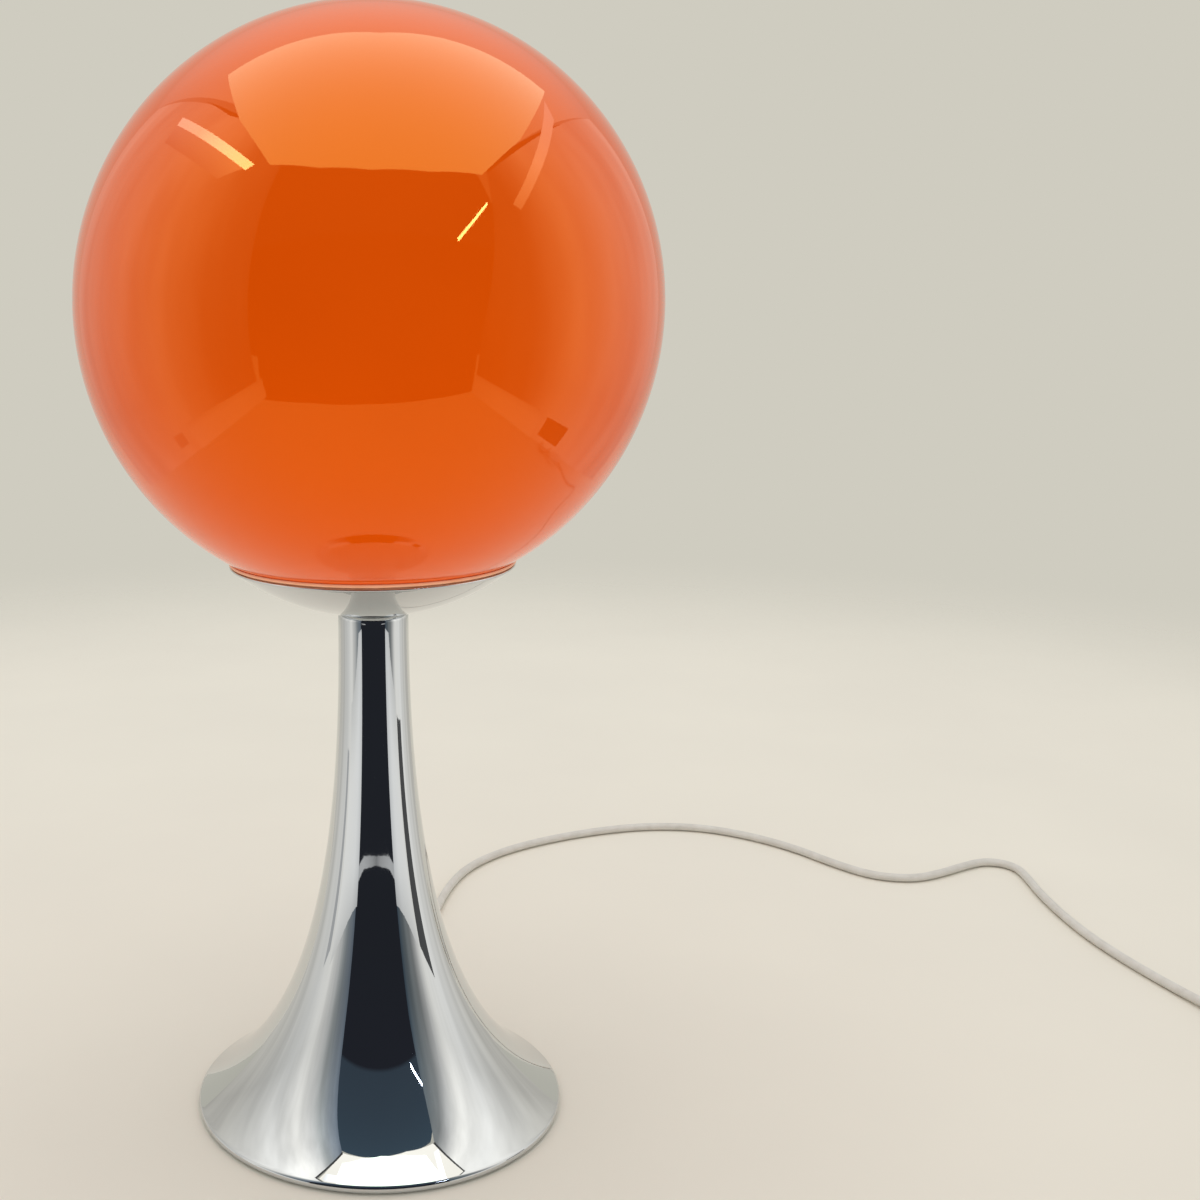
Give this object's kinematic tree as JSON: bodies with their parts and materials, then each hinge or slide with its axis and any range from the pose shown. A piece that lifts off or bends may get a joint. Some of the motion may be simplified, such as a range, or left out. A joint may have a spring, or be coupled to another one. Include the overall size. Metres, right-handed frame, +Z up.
{
  "type": "table lamp",
  "caption": "Table lamp with a glossy glass globe resting in a shallow chromed dish on a slim chromed trumpet foot, with a mains cord, cord switch and plug.",
  "frame": {"origin": "on the table under the middle of the foot", "axes": "+Z up along the lamp's axis, +Y the side on which the cord leaves, +X to the right as seen from the front"},
  "size_m": [0.6487, 0.4778, 0.4924],
  "materials": {
    "chromed_steel": "polished",
    "orange_glass": "gloss",
    "pale_rubber": "matte",
    "felt": "matte",
    "iron": "rough",
    "steel": "satin",
    "holder_plastic": "gloss",
    "porcelain": "gloss",
    "brass": "satin",
    "core_insulation": "matte",
    "cord_sheath": "satin",
    "gland_rubber": "matte",
    "tie_plastic": "matte",
    "bulb_opal": "satin",
    "bulb_metal": "satin",
    "bulb_vitrite": "gloss",
    "switch_plastic": "gloss"
  },
  "bodies": {
    "stand": {"trumpet_base": "chromed_steel", "globe_dish": "chromed_steel", "rim_gasket": "pale_rubber", "base_felt": "felt", "ballast_weight": "iron", "base_cover": "steel", "cover_screws": "steel", "threaded_tube": "steel", "lower_nut": "steel", "lower_washer": "steel", "upper_nut": "steel", "upper_washer": "steel", "rocker_pin": "steel", "switch_screws": "steel", "holder_cap": "holder_plastic", "holder_skirt": "holder_plastic", "holder_insert": "porcelain", "thread_shell": "brass", "centre_contact": "brass", "terminal_screws": "brass", "switch_blades": "brass", "plug_pins": "brass", "core_wires": "core_insulation", "inner_flex": "cord_sheath", "cord_lead": "cord_sheath", "cord_link": "cord_sheath", "cord_coil": "cord_sheath", "cord_tail": "cord_sheath", "cord_gland": "gland_rubber", "coil_tie": "tie_plastic", "switch_base": "switch_plastic", "switch_cover": "switch_plastic", "plug_body": "switch_plastic"},
    "globe": {"glass_globe": "orange_glass"},
    "bulb_rise": {"bulb_tip": "brass"},
    "bulb_turn": {"bulb_insulator": "bulb_vitrite", "bulb_cap": "bulb_metal", "bulb_glass": "bulb_opal"},
    "rocker": {"switch_rocker": "switch_plastic"}
  },
  "joints": [
    {"name": "globe_lift", "type": "slide", "parent": "stand", "child": "globe", "axis": [0, 0, 1], "range_m": [0, 0.14]},
    {"name": "bulb_rise", "type": "slide", "parent": "stand", "child": "bulb_rise", "axis": [0, 0, 1], "range_m": [0, 0.0218]},
    {"name": "bulb_turn", "type": "hinge", "parent": "bulb_rise", "child": "bulb_turn", "pos_m": [0, 0, 0.29], "axis": [0, 0, 1], "range_deg": [0, 2160]},
    {"name": "rocker_press", "type": "hinge", "parent": "stand", "child": "rocker", "pos_m": [0.44, -0.01, 0.0135], "axis": [1, 0, 0], "range_deg": [0, 14]}
  ],
  "couplings": [
    {"joint": "bulb_rise", "follows": "bulb_turn", "m_per_rad": 0.00057757}
  ]
}
